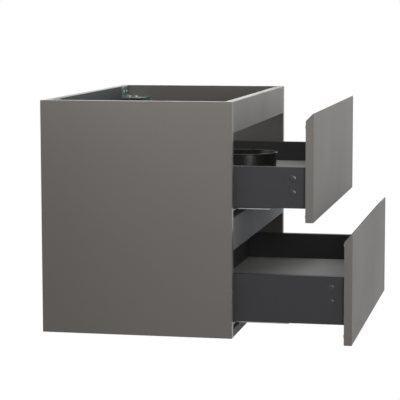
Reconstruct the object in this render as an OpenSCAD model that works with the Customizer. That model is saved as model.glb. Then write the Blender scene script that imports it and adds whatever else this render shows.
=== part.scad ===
// Wall-hung bathroom vanity with two handleless drawers, drawn with both drawers pulled out.
// X runs across the width, the wall is the plane Y = 0 and the drawers open towards -Y.
// Z = 0 is the underside of the carcass, and the top is open to take a basin.

/* [Carcass] */
// Width over the outer faces of the side panels
cabinet_w = 750; // [700:10:900]
// Height of the side panels
cabinet_h = 530; // [525:1:560]
// Depth of the carcass, without the drawer fronts
cabinet_d = 440; // [430:5:480]
// Thickness of the carcass boards
board_t = 18; // [16:1:19]
// Height of the rail across the top of the front
top_rail_h = 70; // [60:1:80]
// Height of the rail behind the gap between the two drawer fronts
mid_rail_h = 73; // [66:1:76]
// Underside of that rail above the underside of the carcass
mid_rail_z = 197; // [190:1:197]
// Height of the upper rear rail, which the wall hangers are fixed to
rear_top_rail_h = 120; // [115:1:130]
// Height of the lower rear rail
rear_bottom_rail_h = 100; // [60:1:120]
// Space between the rear rails and the wall, for the wall plates
rear_gap = 3; // [3:0.5:4]
// Radius of the eased edges of the boards
edge_r = 0.8; // [0.4:0.1:1.2]

/* [Drawer fronts] */
// Thickness of the drawer fronts
front_t = 18; // [18:1:19]
// Height of the upper drawer front
upper_front_h = 241; // [236:1:245]
// Underside of the upper drawer front
upper_front_z = 265; // [260:1:268]
// Height of the lower drawer front
lower_front_h = 247; // [240:1:250]
// Underside of the lower drawer front, which hangs just below the carcass
lower_front_z = -6; // [-8:1:0]
// How far each end of a front stops short of the side panel's outer face
front_reveal = 1; // [0.5:0.5:2]
// Height of the bevelled finger grip along the top of a front
grip_drop = 16; // [12:1:17]
// Gap between a closed front and the carcass
front_gap = 2; // [2:0.5:3]

/* [Drawer boxes] */
// Thickness of the drawer boards
box_t = 16; // [15:1:16]
// Length of the drawer sides
box_l = 356; // [352:1:360]
// Gap between a drawer side and the side panel
box_gap = 5; // [5:0.5:6]
// Height of the upper drawer's sides
upper_side_h = 92; // [88:1:110]
// Lower edge of the upper drawer's sides
upper_side_z = 294; // [290:1:298]
// Height of the lower drawer's sides
lower_side_h = 108; // [100:1:125]
// Lower edge of the lower drawer's sides
lower_side_z = 36; // [34:1:40]
// Distance that the upper drawer is pulled out
upper_open = 162; // [0:1:350]
// Distance that the lower drawer is pulled out
lower_open = 249; // [0:1:350]

/* [Siphon recess] */
// Width of the cut-out in the upper drawer's bottom
siphon_w = 144; // [110:2:180]
// Board left between the cut-out and the back of the drawer front
siphon_front = 125; // [100:5:200]
// Wall thickness of the moulded liner
liner_t = 3; // [2:0.5:4]
// Height of the liner's rim above the drawer sides
liner_rise = 2; // [0:1:10]

/* [Drawer runners] */
// Length of the runner rails
runner_l = 350; // [350:1:352]
// Sheet thickness of the rails
rail_t = 1.2; // [1:0.1:1.4]
// Radius of the bearing balls
ball_r = 2; // [1.9:0.05:2]
// Length of a ball cage
cage_l = 132; // [110:1:140]
// Number of balls in each row of a cage
balls_per_row = 4; // [3:1:6]

/* [Wall hangers] */
// Thickness of the folded hanger bracket
bracket_t = 2; // [1.5:0.5:2.5]
// Depth of the bracket's shelf from the rear rail forward
shelf_d = 64; // [56:2:70]
// Width of the shelf from the side panel inward
shelf_w = 72; // [70:1:80]
// Top of the shelf below the top of the side panels
shelf_drop = 29; // [28:1:34]
// Thickness of the hook and of the wall plate
hook_t = 2.5; // [2:0.5:3]

/* [Hidden] */

left = -1;
right = 1;
eps = 0.01;              // overlap of the pieces of one solid
past = 1;                // how far a cut runs past what it cuts
ease_fn = 24;            // facets of eased edges, of round pieces and of large curves
round_fn = 48;
plan_fn = 96;

panel_grey = [0.45, 0.44, 0.42];
front_grey = [0.49, 0.49, 0.48];
box_grey = [0.24, 0.25, 0.26];
zinc = [0.75, 0.78, 0.78];
beech = [0.80, 0.66, 0.45];
black_plastic = [0.08, 0.08, 0.09];
pad_grey = [0.70, 0.70, 0.68];

// Carcass
inner_w = cabinet_w - 2 * board_t;
front_rail_y = -cabinet_d + board_t / 2;
rear_rail_y = -rear_gap - board_t / 2;
rear_rail_face = -rear_gap - board_t;

// Drawers: the back of a front and the lower edge of the sides give each drawer's place
upper_back_y = -cabinet_d - front_gap - upper_open;
lower_back_y = -cabinet_d - front_gap - lower_open;
box_outer = box_gap;                  // outer face of a drawer side, from the side panel
box_inner = box_gap + box_t;          // inner face of a drawer side, from the side panel
box_in_w = inner_w - 2 * box_inner;
bottom_under = 27;                    // underside of the drawer bottom above the sides' lower edge
bottom_ease = 0.4;                    // eased edges of a drawer bottom
back_drop = 6;                        // top of a drawer back below the sides' top edge
front_w = cabinet_w - 2 * front_reveal;
grip_land = 2;                        // flat strip left along the top of the bevel
liner_foot_w = 6;                     // foot and rim of the siphon liner
liner_foot_t = 2;
rim_w = 2;
rim_h = 2;
front_ease = 0.8;                     // eased edges of a drawer front

// Runner section: x is measured from the side panel and z from the drawer side's lower edge
runner_x = 34;                        // middle of the runner
ball_x = 8;                           // ball rows either side of the middle
ball_z = -2;                          // lower ball rows
section_mid = 9;                      // the section is the same above and below this height
rail_floor = -9;                      // underside of the cabinet rail
middle_half_w = 7;
middle_foot = -6;                     // underside of the middle rail
groove_r = ball_r + 0.2;
groove_out = groove_r + rail_t;
lip_reach = 0.75;                     // a lip stops this far short of its balls' middle
flange_h = 28;                        // height of the cabinet rail's screw flange
cage_t = 0.8;
cage_gap = 0.5;                       // space between a cage's web and the middle rail
cage_above = 0.9;                     // a cage's sides rise this far above its balls
pocket_r = ball_r + 0.15;
runner_front = 3;                     // the rails start this far behind the carcass front
cabinet_rail_y = -cabinet_d + runner_front;
cage_y = cabinet_rail_y + runner_l / 2 - cage_l / 2;
drawer_rail_front = 6;                // the drawer rail starts this far behind the front
rail_screw_y = [37, 133, 293];        // distances behind the carcass front
rail_screw_z = 8;
rail_slot_y = [70, 100, 170, 210, 250];
rail_slot_l = 14;                     // slots that lighten the flange, between their round ends
rail_slot_r = 2.2;
tab_w = 14;                           // tab of a drawer rail, behind the drawer's back
tab_h = 14;
tab_corner = 2;
pin_l = 8;                            // pin of the tab, and its hole in the drawer's back
pin_r = 2.5;
pin_hole_l = 12;
pin_hole_r = 3;
pin_z = bottom_under + 8;

// Fasteners
dowel_d = 8;
dowel_l = 30;
dowel_in_board = 11;                  // length of a carcass dowel inside the side panel
box_dowel_l = 24;
box_dowel_in_side = 9;
front_dowel_in = 10;                  // length of a dowel inside a drawer front
box_dowel_y = [60, 178, 296];         // dowels into a drawer bottom, behind the drawer front
front_dowel_z = 14;                   // dowel into the front, above the sides' lower edge
back_dowel_drop = 14;                 // dowel into the back, below the sides' top edge
dowel_room = 1;                       // space left at the blind end of a dowel hole
screw_r = 2;
screw_l = 14;
screw_point = 3;
head_r = 4;
head_h = 1.8;
recess_depth = 1;                     // cross recess in a wood screw's head
cam_r = 7.5;
cam_pocket = 12.5;
cam_back = 32;                        // cam centre behind the drawer front
cam_drops = [26, 58];                 // cam centres below the drawer side's top edge
cam_clear = 0.1;
cam_h = 10.8;
cam_recess_w = 9;
cam_recess_depth = 3;
cap_r = 8.2;
cap_h = 1;
plug_gap = 0.2;                       // between a cap's plug and the cam under it
plug_r = cam_r - 0.3;
bolt_r = 3;
bolt_hole_r = 3.5;
bolt_thread_r = 2.5;
bolt_chamfer = 1;
bolt_neck_r = 1.8;
bolt_in_front = 11;
bolt_end = cam_back - 4;              // tip of the bolt's head, behind the drawer front
bolt_head_l = 2.6;
bolt_neck_l = 3;
fit = 0.05;                           // clearance round a threaded or pushed-in piece
pad_r = 4;
pad_h = front_gap - 0.3;
pad_taper = 0.8;
pad_inset = 14;                       // bumper pads from a front's top and bottom edges

// Locking clips under the drawers' front corners
clip_l = 54;
clip_w = 28;
clip_foot = 5;                        // underside of the clip, above the sides' lower edge
clip_play = 0.6;                      // between the clip and the drawer rail
clip_gap = 1;                         // between the clip and the back of the drawer front
clip_wall = 2.5;
clip_ribs = 3;
clip_pocket_l = 13;
clip_pocket_pitch = 16;
arm_t = 3;                            // stop arm across the front end of the rail
arm_l = 24;
arm_foot = -4;
clip_lap = 4;                         // length of the arm that lies on the housing
lever_r = 5;
lever_z = 3;
lever_root = 1;                       // length of the lever's round end inside the housing
lever_out = 6;                        // and beyond it
plate_t = 3;                          // cover plate under the housing
plate_y = 2;
plate_inset = 6;

// Wall hangers
shelf_top = cabinet_h - shelf_drop;
shelf_under = shelf_top - bracket_t;
hanger_x = 36;                        // middle of the hook and wall plate, from the side panel
hook_w = 30;
hook_set_back = 8;                    // front of the hook's bar behind the shelf's front edge
hook_tip_h = 7;
hook_play = 0.3;                      // between the hook's tip and the wall plate's lip
hook_top = shelf_under - 5.5;
hook_under = hook_top - hook_t;
plate_w = 60;
plate_foot = 435;
plate_step = 12;                      // the wall plate's step below the hook
plate_hole_z = [445, 465];
plate_hole_r = 3.5;
lip_back = -rear_gap - 3.5;           // face of the wall plate's lip that the hook drops behind
slot_w = 64;
slot_corner = 6;
slot_z0 = 437;
slot_z1 = shelf_under + 0.5;
adjuster_y = [-34, -52];
adjuster_r = 3;
adjuster_below = 6;                   // length of the screw under the hook
adjuster_clear = 0.3;
adjuster_head_r = 5.5;
adjuster_head_h = 3.4;
adjuster_recess_w = 6;
adjuster_recess_depth = 2;
side_screw_y = [-38, -72];
side_screw_z = 470;
rear_screw_x = [24, 56];
rear_screw_z = cabinet_h - 15;
shelf_corner = 22;                    // radius of the shelf's free corner
flange_x0 = 8;                        // the bracket's rear flange starts here
flange_below = 12;                    // foot of the side flange below its screws
flange_short = 2;                     // the side flange stops this far short of the rear rail
flange_corner = 6;
rear_flange_corner = 4;
rear_flange_drop = 1;                 // top of the rear flange below the top of the carcass
fold_h = 8;                           // height of the straight strip along a fold
gusset = 7;
gusset_w = 3;
gusset_x = [11, 67];

// Dowels of the carcass as [y, z]: bottom panel, front rails, rear rails
carcass_dowel_at = [
    for (y = [-60, -220, -380]) [y, board_t / 2],
    for (z = [20, 52]) [front_rail_y, cabinet_h - top_rail_h + z],
    for (z = [18, 54]) [front_rail_y, mid_rail_z + z],
    for (z = [10, rear_top_rail_h - 12]) [rear_rail_y, cabinet_h - rear_top_rail_h + z],
    for (z = [20, rear_bottom_rail_h - 20]) [rear_rail_y, board_t + z]
];

// ---- shapes shared by several pieces ----

// Rectangle with eased corners
module eased_rect(w, h, r = edge_r) {
    translate([r, 0]) square([w - 2 * r, h]);
    translate([0, r]) square([w, h - 2 * r]);
    for (x = [r, w - r], y = [r, h - r])
        translate([x, y]) circle(r = r, $fn = ease_fn);
}

// Places what is drawn outward from the left side panel's inner face on either side
module at_side(s) {
    if (s == left)
        translate([-inner_w / 2, 0, 0]) children();
    else
        mirror([1, 0, 0]) translate([-inner_w / 2, 0, 0]) children();
}

// Extrudes an outline of (x, z) from y0 to y1
module along_y(y0, y1) {
    translate([0, y1, 0]) rotate([90, 0, 0]) linear_extrude(y1 - y0) children();
}

// Extrudes an outline of (y, z) from x0 to x1
module along_x(x0, x1) {
    translate([x0, 0, 0]) rotate([90, 0, 90]) linear_extrude(x1 - x0) children();
}

// Rod along X, from a point inward
module rod_x(x0, x1, r) {
    translate([x0, 0, 0]) rotate([0, 90, 0]) cylinder(h = x1 - x0, r = r, $fn = round_fn);
}

// Rod along Y
module rod_y(y0, y1, r) {
    translate([0, y1, 0]) rotate([90, 0, 0]) cylinder(h = y1 - y0, r = r, $fn = round_fn);
}

// Cross recess of a driver, cut down from z = 0
module cross_recess(size, depth) {
    for (a = [0, 90])
        rotate([0, 0, a]) translate([-size / 2, -size / 8, -depth])
            cube([size, size / 4, depth + past]);
}

// Pan-head wood screw: the head's underside is at z = 0 and the shank points down
module wood_screw() {
    difference() {
        rotate_extrude($fn = round_fn)
            polygon([[0, -screw_l], [screw_r, -screw_l + screw_point], [screw_r, 0], [head_r, 0],
                     [head_r, head_h * 0.5], [head_r * 0.6, head_h], [0, head_h]]);
        translate([0, 0, head_h]) cross_recess(head_r, recess_depth);
    }
}

// ---- carcass ----

module carcass_dowel(s, spot, extra = 0) {
    translate([0, spot[0], spot[1]])
        at_side(s) rod_x(-dowel_in_board - extra, dowel_l - dowel_in_board + extra, dowel_d / 2);
}

module carcass_dowel_holes() {
    for (s = [left, right], spot = carcass_dowel_at)
        carcass_dowel(s, spot, dowel_room);
}

// Everything in the carcass that is held by a wood screw driven into a side panel, as [y, z, head x]
function side_screw_spots() = [
    for (z = [upper_side_z, lower_side_z], y = rail_screw_y) [-cabinet_d + y, z + rail_screw_z, rail_t],
    for (y = side_screw_y) [y, side_screw_z, bracket_t]
];

module side_screws(s) {
    for (p = side_screw_spots())
        at_side(s) translate([p[2], p[0], p[1]]) rotate([0, 90, 0]) wood_screw();
}

module rear_screws(s) {
    for (x = rear_screw_x)
        at_side(s) translate([x, rear_rail_face - bracket_t, rear_screw_z])
            rotate([90, 0, 0]) wood_screw();
}

// Clearance holes for the screws in the metal that their heads hold down
module screw_hole() {
    translate([0, 0, -screw_l]) cylinder(h = screw_l + eps, r = screw_r + fit, $fn = round_fn);
}

module side_screw_holes(s) {
    for (p = side_screw_spots())
        at_side(s) translate([p[2], p[0], p[1]]) rotate([0, 90, 0]) screw_hole();
}

module rear_screw_holes(s) {
    for (x = rear_screw_x)
        at_side(s) translate([x, rear_rail_face - bracket_t, rear_screw_z])
            rotate([90, 0, 0]) screw_hole();
}

module carcass_screws() {
    color(zinc)
        for (s = [left, right]) {
            side_screws(s);
            rear_screws(s);
        }
}

module side_panel(s) {
    color(panel_grey)
        difference() {
            at_side(s) translate([-board_t, -cabinet_d, 0])
                linear_extrude(cabinet_h) eased_rect(board_t, cabinet_d);
            carcass_dowel_holes();
            side_screws(s);
        }
}

// Board across the carcass: its section's lower rear corner is at (y, z)
module cross_board(y, z, t, h) {
    color(panel_grey)
        difference() {
            along_x(-inner_w / 2, inner_w / 2) translate([y, z]) eased_rect(t, h);
            carcass_dowel_holes();
        }
}

// The bottom panel's rear edge stays square, against the wall
module bottom_panel() {
    cross_board(-cabinet_d, 0, cabinet_d, board_t);
    color(panel_grey)
        along_x(-inner_w / 2, inner_w / 2) translate([-board_t / 2, 0]) square([board_t / 2, board_t]);
}

module top_front_rail() {
    cross_board(-cabinet_d, cabinet_h - top_rail_h, board_t, top_rail_h);
}

module mid_front_rail() {
    cross_board(-cabinet_d, mid_rail_z, board_t, mid_rail_h);
}

module rear_bottom_rail() {
    cross_board(rear_rail_face, board_t, board_t, rear_bottom_rail_h);
}

// The slots let the hooks reach the wall plates and leave room to drive the wall screws
module rear_top_rail() {
    color(panel_grey)
        difference() {
            cross_board(rear_rail_face, cabinet_h - rear_top_rail_h, board_t, rear_top_rail_h);
            for (s = [left, right])
                at_side(s)
                    along_y(rear_rail_face - past, -rear_gap + past)
                        translate([hanger_x - slot_w / 2, slot_z0])
                            eased_rect(slot_w, slot_z1 - slot_z0, slot_corner);
            for (s = [left, right])
                rear_screws(s);
        }
}

module carcass_dowels() {
    color(beech)
        for (s = [left, right], spot = carcass_dowel_at)
            carcass_dowel(s, spot);
}

// ---- wall hangers ----

// Plan of the bracket's shelf, with its free corner rounded
module shelf_plan() {
    straight_w = shelf_w - shelf_corner;
    difference() {
        union() {
            translate([0, -shelf_d + shelf_corner]) square([shelf_w, shelf_d - shelf_corner]);
            translate([0, -shelf_d]) square([straight_w, shelf_d]);
            translate([straight_w, -shelf_d + shelf_corner]) circle(r = shelf_corner, $fn = plan_fn);
        }
        for (y = adjuster_y)
            translate([hanger_x, y - rear_rail_face])
                circle(r = adjuster_r + adjuster_clear, $fn = round_fn);
    }
}

// Folded bracket: a shelf, a flange down the side panel and a flange up the rear rail
module hanger_bracket(s) {
    flange_foot = side_screw_z - flange_below;
    flange_w = shelf_w - flange_x0;
    fold_y = rear_rail_face - bracket_t;
    color(zinc)
        difference() {
            at_side(s) {
                translate([0, rear_rail_face, shelf_under]) linear_extrude(bracket_t) shelf_plan();
                along_x(0, bracket_t)
                    translate([rear_rail_face - shelf_d, flange_foot])
                        eased_rect(shelf_d - flange_short, shelf_top - flange_foot, flange_corner);
                along_x(0, bracket_t)
                    translate([rear_rail_face - shelf_d, shelf_top - fold_h])
                        square([shelf_d, fold_h]);
                along_y(fold_y, rear_rail_face)
                    translate([flange_x0, shelf_under])
                        eased_rect(flange_w, cabinet_h - rear_flange_drop - shelf_under,
                                   rear_flange_corner);
                along_y(fold_y, rear_rail_face)
                    translate([flange_x0, shelf_under]) square([flange_w, fold_h]);
                // pressed gussets that stiffen the rear fold
                for (x = gusset_x)
                    along_x(x, x + gusset_w)
                        polygon([[fold_y + eps, shelf_top - eps], [fold_y - gusset, shelf_top - eps],
                                 [fold_y + eps, shelf_top + gusset]]);
            }
            side_screw_holes(s);
            rear_screw_holes(s);
        }
}

// Hook: a bar under the shelf whose rear end turns down behind the wall plate's lip
module hanger_hook(s) {
    bar_front = rear_rail_face - shelf_d + hook_set_back;
    tip_foot = hook_under - hook_tip_h;
    tip_front = lip_back + hook_play;
    color(zinc)
        difference() {
            at_side(s)
                along_x(hanger_x - hook_w / 2, hanger_x + hook_w / 2) {
                    translate([bar_front, hook_under])
                        square([tip_front + hook_t - bar_front, hook_t]);
                    translate([tip_front, tip_foot]) square([hook_t, hook_under - tip_foot + eps]);
                    translate([bar_front, hook_under]) square([hook_t, shelf_under - hook_under]);
                }
            hanger_adjuster_shanks(s, fit);
        }
}

module hanger_adjuster_shanks(s, extra = 0) {
    foot = hook_under - adjuster_below;
    for (y = adjuster_y)
        at_side(s) translate([hanger_x, y, foot])
            cylinder(h = shelf_top + eps - foot, r = adjuster_r + extra, $fn = round_fn);
}

module adjuster_head() {
    r = adjuster_head_r;
    h = adjuster_head_h;
    difference() {
        rotate_extrude($fn = round_fn)
            polygon([[0, 0], [r, 0], [r, h * 0.6], [r * 0.7, h], [0, h]]);
        translate([0, 0, h]) cross_recess(adjuster_recess_w, adjuster_recess_depth);
    }
}

module hanger_adjusters() {
    color(zinc)
        for (s = [left, right]) {
            hanger_adjuster_shanks(s);
            for (y = adjuster_y)
                at_side(s) translate([hanger_x, y, shelf_top]) adjuster_head();
        }
}

// Plate screwed to the wall, with an upturned lip that carries the hook
module wall_plate(s) {
    step_z = hook_under - plate_step;
    color(zinc)
        difference() {
            at_side(s)
                along_x(hanger_x - plate_w / 2, hanger_x + plate_w / 2) {
                    translate([-hook_t, plate_foot]) square([hook_t, step_z - plate_foot]);
                    translate([lip_back - hook_t, step_z - hook_t])
                        square([-lip_back + hook_t, hook_t]);
                    translate([lip_back - hook_t, step_z - hook_t])
                        square([hook_t, hook_under - step_z + hook_t]);
                }
            for (z = plate_hole_z)
                at_side(s) translate([hanger_x, 0, z]) rod_y(-hook_t - past, past, plate_hole_r);
        }
}

// ---- drawer runners ----

// Wall of a rail that hugs the balls running at the origin; the wall comes from below
module lip(drop) {
    difference() {
        union() {
            circle(r = groove_out, $fn = round_fn);
            translate([-groove_out, -drop]) square([rail_t, drop]);
        }
        circle(r = groove_r, $fn = round_fn);
        translate([-lip_reach, -groove_out]) square([2 * groove_out, 2 * groove_out]);
    }
}

// Trough with a lip along each side, open upwards
module trough() {
    drop = ball_z - rail_floor;
    for (m = [0, 1])
        translate([runner_x, ball_z]) mirror([m, 0])
            translate([-ball_x, 0]) lip(drop);
    translate([runner_x - ball_x - groove_out, rail_floor])
        square([2 * (ball_x + groove_out), rail_t]);
}

// Turns a section over about its middle height
module turned_over() {
    translate([0, 2 * section_mid]) mirror([0, 1]) children();
}

module place_runner(s, z) {
    at_side(s) translate([0, 0, z]) children();
}

// Fixed rail: a screw flange on the side panel, and a trough under the drawer side
module cabinet_rail(s, z) {
    color(zinc)
        difference() {
            place_runner(s, z)
                along_y(cabinet_rail_y, cabinet_rail_y + runner_l) {
                    translate([0, rail_floor]) square([rail_t, flange_h]);
                    translate([0, rail_floor]) square([runner_x, rail_t]);
                    trough();
                }
            side_screw_holes(s);
            place_runner(s, z)
                for (y = rail_slot_y)
                    translate([0, -cabinet_d + y, rail_screw_z]) rail_slot();
        }
}

// Slot with round ends through a rail's flange
module rail_slot() {
    for (y = [0, rail_slot_l])
        translate([0, y, 0]) rod_x(-past, rail_t + past, rail_slot_r);
    translate([-past, 0, -rail_slot_r]) cube([rail_t + 2 * past, rail_slot_l, 2 * rail_slot_r]);
}

// Moving rail in the middle: a closed profile with a ball groove at each corner
module middle_rail(s, z, out) {
    h = 2 * (section_mid - middle_foot);
    color(zinc)
        place_runner(s, z)
            along_y(cabinet_rail_y - out, cabinet_rail_y - out + runner_l)
                difference() {
                    translate([runner_x - middle_half_w, middle_foot])
                        square([2 * middle_half_w, h]);
                    difference() {
                        translate([runner_x - middle_half_w + rail_t, middle_foot + rail_t])
                            square([2 * (middle_half_w - rail_t), h - 2 * rail_t]);
                        ball_rows(groove_out);
                    }
                    ball_rows(groove_r);
                }
}

// Circles at the four ball rows of the section
module ball_rows(r) {
    for (x = [-ball_x, ball_x], z = [ball_z, 2 * section_mid - ball_z])
        translate([runner_x + x, z]) circle(r = r, $fn = round_fn);
}

// Rail under the drawer bottom, with a tab that hooks into the drawer's back
module drawer_rail(s, z, back_y) {
    y0 = back_y + drawer_rail_front;
    rear = back_y + box_l;
    color(zinc)
        place_runner(s, z) {
            along_y(y0, rear + rail_t) turned_over() trough();
            along_y(rear, rear + rail_t)
                translate([runner_x - tab_w / 2, bottom_under - eps])
                    eased_rect(tab_w, tab_h, tab_corner);
            translate([runner_x, 0, pin_z]) rod_y(rear - pin_l, rear + rail_t / 2, pin_r);
        }
}

// Ball cage: a strip folded round the middle rail's foot, with a ball in each pocket
module ball_cage(s, z, out, over) {
    web = middle_foot - cage_gap - cage_t;
    strip_h = ball_z + ball_r + cage_above - web;
    pitch = cage_l / balls_per_row;
    y0 = cage_y - out;
    color(zinc)
        place_runner(s, z) turn_cage(over) {
            difference() {
                along_y(y0, y0 + cage_l) {
                    translate([runner_x - ball_x - cage_t / 2, web])
                        square([2 * ball_x + cage_t, cage_t]);
                    for (x = [-ball_x, ball_x])
                        translate([runner_x + x - cage_t / 2, web]) square([cage_t, strip_h]);
                }
                for (i = [0 : balls_per_row - 1])
                    translate([0, y0 + (i + 0.5) * pitch, ball_z])
                        rod_x(runner_x - ball_x - cage_t, runner_x + ball_x + cage_t, pocket_r);
            }
            for (i = [0 : balls_per_row - 1], x = [-ball_x, ball_x])
                translate([runner_x + x, y0 + (i + 0.5) * pitch, ball_z])
                    sphere(r = ball_r, $fn = round_fn);
        }
}

module turn_cage(over) {
    if (over)
        translate([0, 0, 2 * section_mid]) mirror([0, 0, 1]) children();
    else
        children();
}

// ---- drawer boxes ----

module box_dowel(s, y, z, extra = 0) {
    at_side(s) translate([0, y, z])
        rod_x(box_inner - box_dowel_in_side - extra,
              box_inner + box_dowel_l - box_dowel_in_side + extra, dowel_d / 2);
}

// Dowels of one drawer: sides to bottom, sides to back, and sides to front
module drawer_dowel_set(z, h, back_y, extra = 0) {
    for (s = [left, right]) {
        for (y = box_dowel_y)
            box_dowel(s, back_y + y, z + bottom_under + box_t / 2, extra);
        box_dowel(s, back_y + box_l - box_t / 2, z + h - back_dowel_drop, extra);
        at_side(s) translate([box_outer + box_t / 2, 0, z + front_dowel_z])
            rod_y(back_y - front_dowel_in - extra, back_y + box_dowel_l - front_dowel_in + extra,
                  dowel_d / 2);
    }
}

// Cam bolt, pointing backwards from the drawer front: thread, shank, neck and head
module cam_bolt() {
    neck = bolt_end - bolt_head_l;
    rotate([-90, 0, 0])
        rotate_extrude($fn = round_fn)
            polygon([[0, -bolt_in_front], [bolt_thread_r - bolt_chamfer, -bolt_in_front],
                     [bolt_thread_r, -bolt_in_front + bolt_chamfer], [bolt_thread_r, 0],
                     [bolt_r, 0], [bolt_r, neck - bolt_neck_l],
                     [bolt_neck_r, neck - bolt_neck_l], [bolt_neck_r, neck],
                     [bolt_r, neck], [bolt_r, bolt_end - bolt_chamfer],
                     [bolt_r - bolt_chamfer, bolt_end], [0, bolt_end]]);
}

module cam_bolt_set(z, h, back_y) {
    for (s = [left, right], drop = cam_drops)
        at_side(s) translate([box_outer + box_t / 2, back_y, z + h - drop]) cam_bolt();
}

module cam_bolt_holes(z, h, back_y) {
    for (s = [left, right], drop = cam_drops)
        at_side(s) translate([box_outer + box_t / 2, 0, z + h - drop])
            rod_y(back_y - bolt_in_front - fit, back_y + past, bolt_thread_r + fit);
}

module cam_pockets(s, z, h, back_y) {
    for (drop = cam_drops) {
        at_side(s) translate([0, back_y + cam_back, z + h - drop])
            rod_x(box_outer - past, box_outer + cam_pocket, cam_r);
        at_side(s) translate([box_outer + box_t / 2, 0, z + h - drop])
            rod_y(back_y - past, back_y + cam_back, bolt_hole_r);
    }
}

module drawer_side(s, z, h, back_y) {
    color(box_grey)
        difference() {
            at_side(s)
                along_y(back_y, back_y + box_l)
                    translate([box_outer, z]) eased_rect(box_t, h);
            drawer_dowel_set(z, h, back_y, dowel_room);
            cam_pockets(s, z, h, back_y);
        }
}

module drawer_front(z, h, side_z, side_h, back_y) {
    color(front_grey)
        difference() {
            along_x(-front_w / 2, front_w / 2)
                translate([back_y, z])
                    polygon([[-front_t, front_ease], [-front_t + front_ease, 0],
                             [-front_ease, 0], [0, front_ease],
                             [0, h - grip_drop], [-front_t + grip_land, h],
                             [-front_t + front_ease / 2, h], [-front_t, h - front_ease / 2]]);
            drawer_dowel_set(side_z, side_h, back_y, dowel_room);
            cam_bolt_holes(side_z, side_h, back_y);
        }
}

// Plan of the siphon cut-out with a round front end; grow widens it
module siphon_plan(back_y, grow = 0, tail = 0) {
    r = siphon_w / 2;
    tip = back_y + siphon_front;
    translate([0, tip + r]) circle(r = r + grow, $fn = plan_fn);
    translate([-r - grow, tip + r]) square([siphon_w + 2 * grow, box_l - siphon_front - r + tail]);
}

module drawer_bottom(z, h, back_y, cut) {
    color(box_grey)
        difference() {
            along_y(back_y, back_y + box_l - box_t)
                translate([-box_in_w / 2, z + bottom_under])
                    eased_rect(box_in_w, box_t, bottom_ease);
            drawer_dowel_set(z, h, back_y, dowel_room);
            if (cut)
                translate([0, 0, z + bottom_under - past])
                    linear_extrude(box_t + 2 * past) siphon_plan(back_y, 0, past);
        }
}

// Holes in a drawer back for the runners' hooks
module hook_holes(z, back_y) {
    for (s = [left, right])
        place_runner(s, z) translate([runner_x, 0, pin_z])
            rod_y(back_y + box_l - pin_hole_l, back_y + box_l + past, pin_hole_r);
}

// Back board from x0 to x1, standing level with the underside of the bottom
module drawer_back(x0, x1, z, h, back_y) {
    color(box_grey)
        difference() {
            along_x(x0, x1)
                translate([back_y + box_l - box_t, z + bottom_under])
                    eased_rect(box_t, h - bottom_under - back_drop);
            drawer_dowel_set(z, h, back_y, dowel_room);
            hook_holes(z, back_y);
        }
}

// Moulded liner round the siphon: a wall, a foot on the drawer bottom and a rolled rim
module siphon_liner(z, h, back_y) {
    under = z + bottom_under;
    floor_top = under + box_t;
    rim_top = z + h + liner_rise;
    color(black_plastic)
        difference() {
            union() {
                translate([0, 0, under]) linear_extrude(rim_top - under) siphon_plan(back_y);
                liner_flange(back_y, floor_top, liner_foot_w, liner_foot_t, box_l - box_t);
                liner_flange(back_y, rim_top - rim_h, rim_w, rim_h, box_l);
            }
            translate([0, 0, under - past])
                linear_extrude(rim_top - under + 2 * past)
                    siphon_plan(back_y, -liner_t, siphon_w);
        }
}

// Flat edge that stands out round the liner, up to a distance behind the drawer front
module liner_flange(back_y, z, w, t, l) {
    intersection() {
        translate([0, 0, z]) linear_extrude(t) siphon_plan(back_y, w);
        translate([-siphon_w, back_y, z]) cube([2 * siphon_w, l, t]);
    }
}

module cam_housings(z, h, back_y) {
    color(zinc)
        for (s = [left, right], drop = cam_drops)
            at_side(s) translate([box_outer + cam_pocket - cam_clear, back_y + cam_back, z + h - drop])
                rotate([0, -90, 0])
                    difference() {
                        cylinder(h = cam_h, r = cam_r - cam_clear, $fn = round_fn);
                        // slot for the bolt's head and recess for the driver
                        translate([0, 0, cam_pocket - cam_clear - box_t / 2])
                            rotate([90, 0, 0]) cylinder(h = cam_r + 1, r = bolt_hole_r, $fn = round_fn);
                        translate([0, 0, cam_h]) cross_recess(cam_recess_w, cam_recess_depth);
                    }
}

// Push-in cover caps with a shallow dome
module cam_caps(z, h, back_y) {
    dome_r = (cap_r * cap_r + cap_h * cap_h) / (2 * cap_h);
    plug_h = cam_pocket - cam_clear - cam_h - plug_gap;
    color(box_grey)
        for (s = [left, right], drop = cam_drops)
            at_side(s) translate([box_outer, back_y + cam_back, z + h - drop])
                rotate([0, -90, 0]) {
                    intersection() {
                        translate([0, 0, cap_h - dome_r]) sphere(r = dome_r, $fn = plan_fn);
                        cylinder(h = cap_h + 1, r = cap_r, $fn = round_fn);
                    }
                    translate([0, 0, -plug_h]) cylinder(h = plug_h + eps, r = plug_r, $fn = round_fn);
                }
}

module cam_bolts(z, h, back_y) {
    color(zinc) cam_bolt_set(z, h, back_y);
}

module drawer_dowels(z, h, back_y) {
    color(beech) drawer_dowel_set(z, h, back_y);
}

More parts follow.
